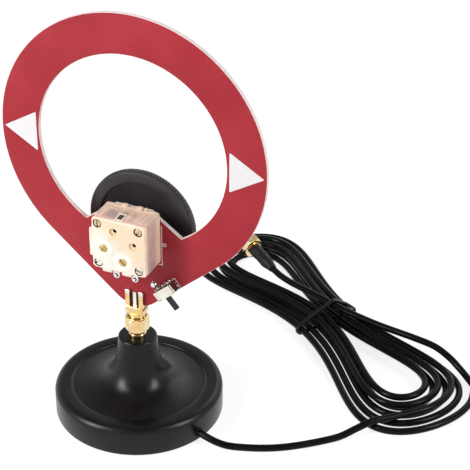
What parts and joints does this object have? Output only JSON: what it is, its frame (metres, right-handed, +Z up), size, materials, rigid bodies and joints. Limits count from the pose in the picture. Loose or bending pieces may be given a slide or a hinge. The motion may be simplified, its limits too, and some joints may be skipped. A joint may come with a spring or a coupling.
{
  "type": "loop antenna",
  "caption": "Tabletop loop antenna: a printed teardrop ring with tuning capacitor, thumbwheel and slide switch, on a magnetic bell base with a tied coaxial cable.",
  "frame": {"origin": "centre of the base's underside, on the axis of the connector", "axes": "+Z up along the neck; the board stands in the XZ plane and its front, with the capacitor, faces -Y"},
  "size_m": [0.1642, 0.1608, 0.1574],
  "materials": {
    "red_board": "satin solder resist",
    "capacitor_plastic": "milky translucent",
    "plate_metal": "satin",
    "brass": "machined",
    "steel": "zinc plated",
    "tinned": "tinned",
    "gold_plate": "gold plated, polished",
    "white_insulator": "matt",
    "black_plastic": "satin moulded",
    "cable_jacket": "satin",
    "magnet": "sintered",
    "foam_pad": "closed-cell foam"
  },
  "bodies": {
    "base": {"base_shell": "black_plastic", "base_magnet": "magnet", "base_yoke_plate": "steel", "base_pad": "foam_pad", "sma_plug_body": "gold_plate", "sma_plug_insulator": "white_insulator", "sma_plug_pin": "gold_plate", "nut_retaining_ring": "gold_plate", "inner_coax": "cable_jacket", "cable_grommet": "cable_jacket", "cable_lead": "cable_jacket", "cable_hank": "cable_jacket", "cable_tail": "cable_jacket", "cable_tie": "cable_jacket", "plug_boot": "cable_jacket", "plug_body": "gold_plate", "plug_insulator": "white_insulator", "plug_pin": "gold_plate", "plug_retaining_ring": "gold_plate"},
    "coupling_nut": {"coupling_nut": "gold_plate"},
    "head": {"pcb_board": "red_board", "loop_winding": "red_board", "capacitor_back_plate": "capacitor_plastic", "capacitor_case": "capacitor_plastic", "capacitor_front_cover": "capacitor_plastic", "capacitor_stator_plates": "plate_metal", "capacitor_terminals": "tinned", "capacitor_case_screws": "steel", "capacitor_mounting_screws": "steel", "switch_body": "black_plastic", "switch_cover": "steel", "switch_terminals": "tinned", "solder_joints": "tinned", "sma_jack_body": "gold_plate", "sma_jack_insulator": "white_insulator", "sma_jack_pin": "gold_plate"},
    "tuning_rotor": {"capacitor_rotor_plates": "plate_metal", "capacitor_shaft": "brass", "tuning_knob": "black_plastic", "knob_screw": "steel"},
    "switch_slider": {"switch_lever": "black_plastic", "switch_contact": "tinned"},
    "trimmer_left": {"trimmer_left": "brass"},
    "trimmer_right": {"trimmer_right": "brass"},
    "plug_nut": {"plug_nut": "gold_plate"}
  },
  "joints": [
    {"name": "head_swivel", "type": "hinge", "parent": "base", "child": "head", "pos_m": [0, 0, 0.038], "axis": [0, 0, 1], "continuous": true},
    {"name": "coupling_nut_turn", "type": "hinge", "parent": "base", "child": "coupling_nut", "pos_m": [0, 0, 0.0375], "axis": [0, 0, 1], "continuous": true},
    {"name": "tuning_turn", "type": "hinge", "parent": "head", "child": "tuning_rotor", "pos_m": [0, 0, 0.0758], "axis": [0, 1, 0], "range_deg": [0, 180]},
    {"name": "switch_slide", "type": "slide", "parent": "head", "child": "switch_slider", "axis": [0.7569, 0, 0.6536], "range_m": [0, 0.002]},
    {"name": "trimmer_left_turn", "type": "hinge", "parent": "head", "child": "trimmer_left", "pos_m": [-0.00567, -0.0112, 0.07417], "axis": [0, 1, 0], "continuous": true},
    {"name": "trimmer_right_turn", "type": "hinge", "parent": "head", "child": "trimmer_right", "pos_m": [0.00163, -0.0112, 0.07013], "axis": [0, 1, 0], "continuous": true},
    {"name": "plug_nut_turn", "type": "hinge", "parent": "base", "child": "plug_nut", "pos_m": [0.00235, 0.10429, 0.01027], "axis": [-0.8112, 0.568, 0.1392], "continuous": true}
  ]
}
